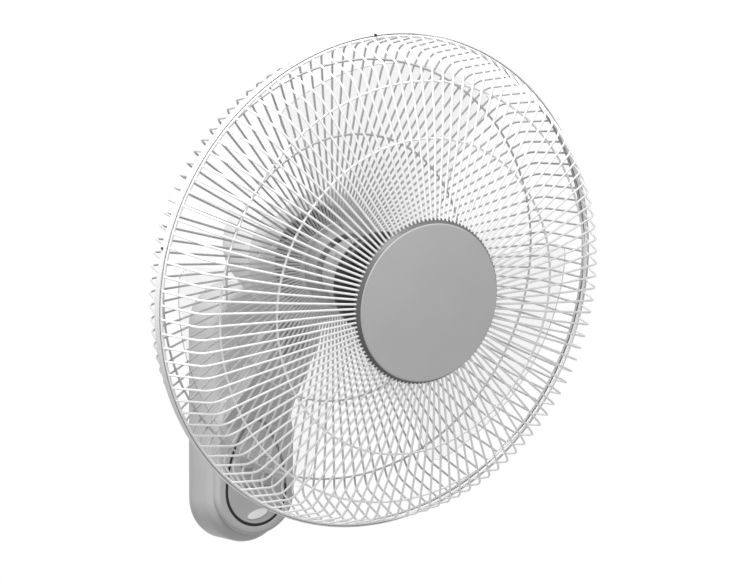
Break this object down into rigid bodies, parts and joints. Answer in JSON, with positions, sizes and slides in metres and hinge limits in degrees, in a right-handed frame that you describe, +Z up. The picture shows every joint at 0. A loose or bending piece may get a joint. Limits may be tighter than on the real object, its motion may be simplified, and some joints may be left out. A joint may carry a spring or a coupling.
{
  "type": "wall mounted fan",
  "caption": "Oscillating wall fan: a leaning arm on a round-ended base carries a tilting motor head with clear blades inside a domed radial wire guard.",
  "frame": {"origin": "middle of the wall plate's back face, on the wall", "axes": "+Z up, +Y into the wall, the fan faces -Y, +X to the right seen from the room"},
  "size_m": [0.4424, 0.3702, 0.4747],
  "materials": {
    "shell_plastic": "satin moulded grey plastic",
    "panel_plastic": "darker satin grey plastic",
    "black_rubber": "black rubber",
    "lens_plastic": "translucent light grey plastic",
    "button_plastic": "light grey plastic",
    "board": "green circuit board",
    "zinc_steel": "zinc-plated steel",
    "cast_metal": "cast alloy",
    "iron": "stacked iron sheet",
    "copper": "lacquered copper wire",
    "gear_plastic": "natural nylon",
    "wire_grey": "light grey powder coat",
    "band_grey": "light grey powder coat",
    "clear_blade": "clear tinted plastic",
    "cap_metallic": "satin metallic grey paint",
    "dark_plastic": "dark grey plastic"
  },
  "bodies": {
    "base": {"wall_plate": "zinc_steel", "base_housing": "shell_plastic", "lock_screw": "zinc_steel", "cord_inlet": "black_rubber", "cover_screws": "zinc_steel", "run_capacitor": "dark_plastic", "terminal_block": "gear_plastic", "front_cover": "shell_plastic", "panel_seal": "black_rubber", "control_panel": "panel_plastic", "receiver_lens": "lens_plastic", "circuit_board": "board", "tilt_bolt": "zinc_steel", "tilt_nut": "zinc_steel"},
    "neck": {"neck_bracket": "dark_plastic", "swing_pin": "zinc_steel", "thrust_washer": "gear_plastic"},
    "head": {"motor_rear_cover": "shell_plastic", "motor_front_cover": "dark_plastic", "stator_core": "iron", "stator_windings": "copper", "front_bearing": "cast_metal", "rear_bearing": "cast_metal", "swing_gearbox": "gear_plastic", "swing_bracket": "cast_metal", "front_guard": "wire_grey", "rear_guard": "wire_grey", "guard_band": "band_grey", "band_clips": "dark_plastic", "guard_nut": "dark_plastic", "front_cap": "cap_metallic"},
    "rotor": {"rotor_shaft": "zinc_steel", "rotor_core": "cast_metal", "fan_blades": "clear_blade", "blade_nut": "dark_plastic"},
    "crank": {"crank_disc": "zinc_steel"},
    "link": {"swing_link": "zinc_steel"},
    "button_timer": {"button_timer": "button_plastic"},
    "button_power": {"button_power": "button_plastic"},
    "button_swing": {"button_swing": "button_plastic"},
    "button_speed": {"button_speed": "button_plastic"}
  },
  "joints": [
    {"name": "head_tilt", "type": "hinge", "parent": "base", "child": "neck", "pos_m": [0, -0.119, 0.075], "axis": [1, 0, 0], "range_deg": [-20, 18]},
    {"name": "head_swing", "type": "hinge", "parent": "neck", "child": "head", "pos_m": [0, -0.13503, 0.15746], "axis": [0, -0.1908, 0.9816], "range_deg": [-38.7, 38.7]},
    {"name": "blade_spin", "type": "hinge", "parent": "head", "child": "rotor", "pos_m": [0, -0.28227, 0.12884], "axis": [0, -0.9816, -0.1908], "continuous": true},
    {"name": "crank_turn", "type": "hinge", "parent": "head", "child": "crank", "pos_m": [0.02, -0.09217, 0.10466], "axis": [0, -0.1908, 0.9816], "continuous": true},
    {"name": "link_turn", "type": "hinge", "parent": "crank", "child": "link", "pos_m": [0.0075, -0.09179, 0.1027], "axis": [0, -0.1908, 0.9816], "continuous": true},
    {"name": "button_timer_press", "type": "slide", "parent": "base", "child": "button_timer", "axis": [0, 1, 0], "range_m": [0, 0.0008], "stiffness_N_per_m": 800},
    {"name": "button_power_press", "type": "slide", "parent": "base", "child": "button_power", "axis": [0, 1, 0], "range_m": [0, 0.0008], "stiffness_N_per_m": 800},
    {"name": "button_swing_press", "type": "slide", "parent": "base", "child": "button_swing", "axis": [0, 1, 0], "range_m": [0, 0.0008], "stiffness_N_per_m": 800},
    {"name": "button_speed_press", "type": "slide", "parent": "base", "child": "button_speed", "axis": [0, 1, 0], "range_m": [0, 0.0008], "stiffness_N_per_m": 800}
  ],
  "couplings": [
    {"joint": "link_turn", "follows": "crank_turn", "ratio": -1}
  ]
}
